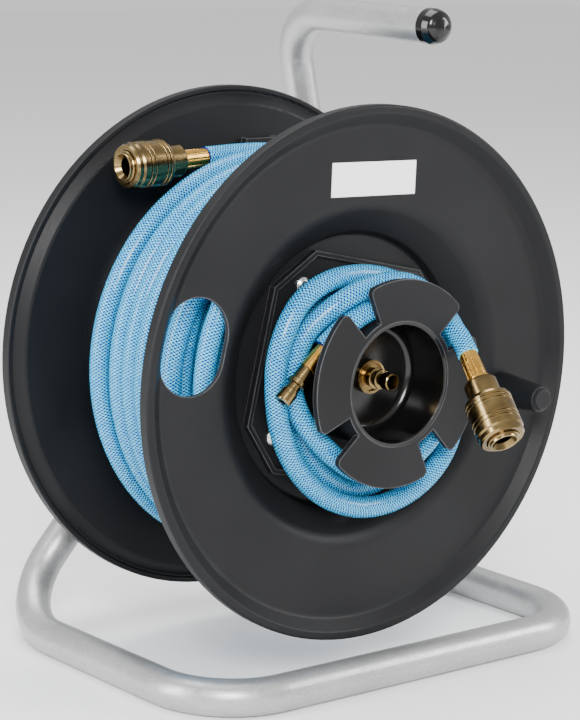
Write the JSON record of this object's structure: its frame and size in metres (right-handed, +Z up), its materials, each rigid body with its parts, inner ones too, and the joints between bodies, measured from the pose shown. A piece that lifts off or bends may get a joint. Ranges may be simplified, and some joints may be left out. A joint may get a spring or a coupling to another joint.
{
  "type": "air hose reel",
  "caption": "Portable hand-cranked reel for compressed-air hose: dished drum flanges, a bent tube stand with a carrying handle, and a short leader hose wound on a holder at the hub.",
  "frame": {"origin": "on the floor, under the middle of the reel's outline without its hoses", "axes": "+Z up, +Y along the drum's axle from the crank side to the back, +X to the right seen from the crank side"},
  "size_m": [0.311, 0.2659, 0.3625],
  "materials": {
    "frame_silver": "satin silver powder coat",
    "cap_black": "gloss",
    "steel": "zinc plated",
    "bush_white": "matt",
    "drum_charcoal": "fine grained",
    "label_white": "smooth film",
    "brass": "turned, dark antique finish",
    "brass_gold": "bright, drawn",
    "seal_black": "matt",
    "hose_blue": "clear blue with a white braid"
  },
  "bodies": {
    "frame": {"frame_tube": "frame_silver", "handle_end_cap": "cap_black", "axle_bracket": "steel", "axle": "steel", "axle_clip": "steel", "axle_washer": "steel", "axle_spacer": "steel"},
    "drum": {"axle_bushes": "bush_white", "crank_pin": "steel", "crank_pin_cap": "drum_charcoal", "drum_core": "drum_charcoal", "drum_coupler_body": "brass", "drum_coupler_neck": "brass_gold", "drum_coupler_seal": "seal_black", "drum_coupler_valve": "brass", "drum_coupler_valve_spring": "steel", "drum_hose_inner": "hose_blue", "drum_hose_tail": "hose_blue", "front_flange": "drum_charcoal", "holder_cup": "cap_black", "hose_holder": "drum_charcoal", "hose_winding": "hose_blue", "inlet_elbow": "brass", "inlet_nipple": "brass", "inlet_nut": "brass", "inlet_seal": "seal_black", "inner_clamp": "steel", "label_plate": "label_white", "leader_coil": "hose_blue", "leader_coupler_body": "brass", "leader_coupler_neck": "brass_gold", "leader_coupler_seal": "seal_black", "leader_coupler_valve": "brass", "leader_coupler_valve_spring": "steel", "leader_lead_coupler": "hose_blue", "leader_lead_plug": "hose_blue", "leader_plug": "brass", "leader_plug_neck": "brass_gold", "rear_flange": "drum_charcoal", "tie_bolts": "steel", "tie_nuts": "steel"},
    "crank_knob": {"crank_knob": "drum_charcoal"},
    "drum_coupler_sleeve": {"drum_coupler_sleeve": "brass"},
    "leader_coupler_sleeve": {"leader_coupler_sleeve": "brass"}
  },
  "joints": [
    {"name": "drum_spin", "type": "hinge", "parent": "frame", "child": "drum", "pos_m": [-0.0105, -0.0085, 0.169], "axis": [0, 1, 0], "continuous": true},
    {"name": "crank_knob_spin", "type": "hinge", "parent": "drum", "child": "crank_knob", "pos_m": [0.09055, -0.0905, 0.15009], "axis": [0, 1, 0], "continuous": true},
    {"name": "drum_coupler_slide", "type": "slide", "parent": "drum", "child": "drum_coupler_sleeve", "axis": [0.9986, 0.031, 0.043], "range_m": [0, 0.0036], "stiffness_N_per_m": 900},
    {"name": "leader_coupler_slide", "type": "slide", "parent": "drum", "child": "leader_coupler_sleeve", "axis": [0.1369, 0.6934, 0.7074], "range_m": [0, 0.0036], "stiffness_N_per_m": 900}
  ]
}
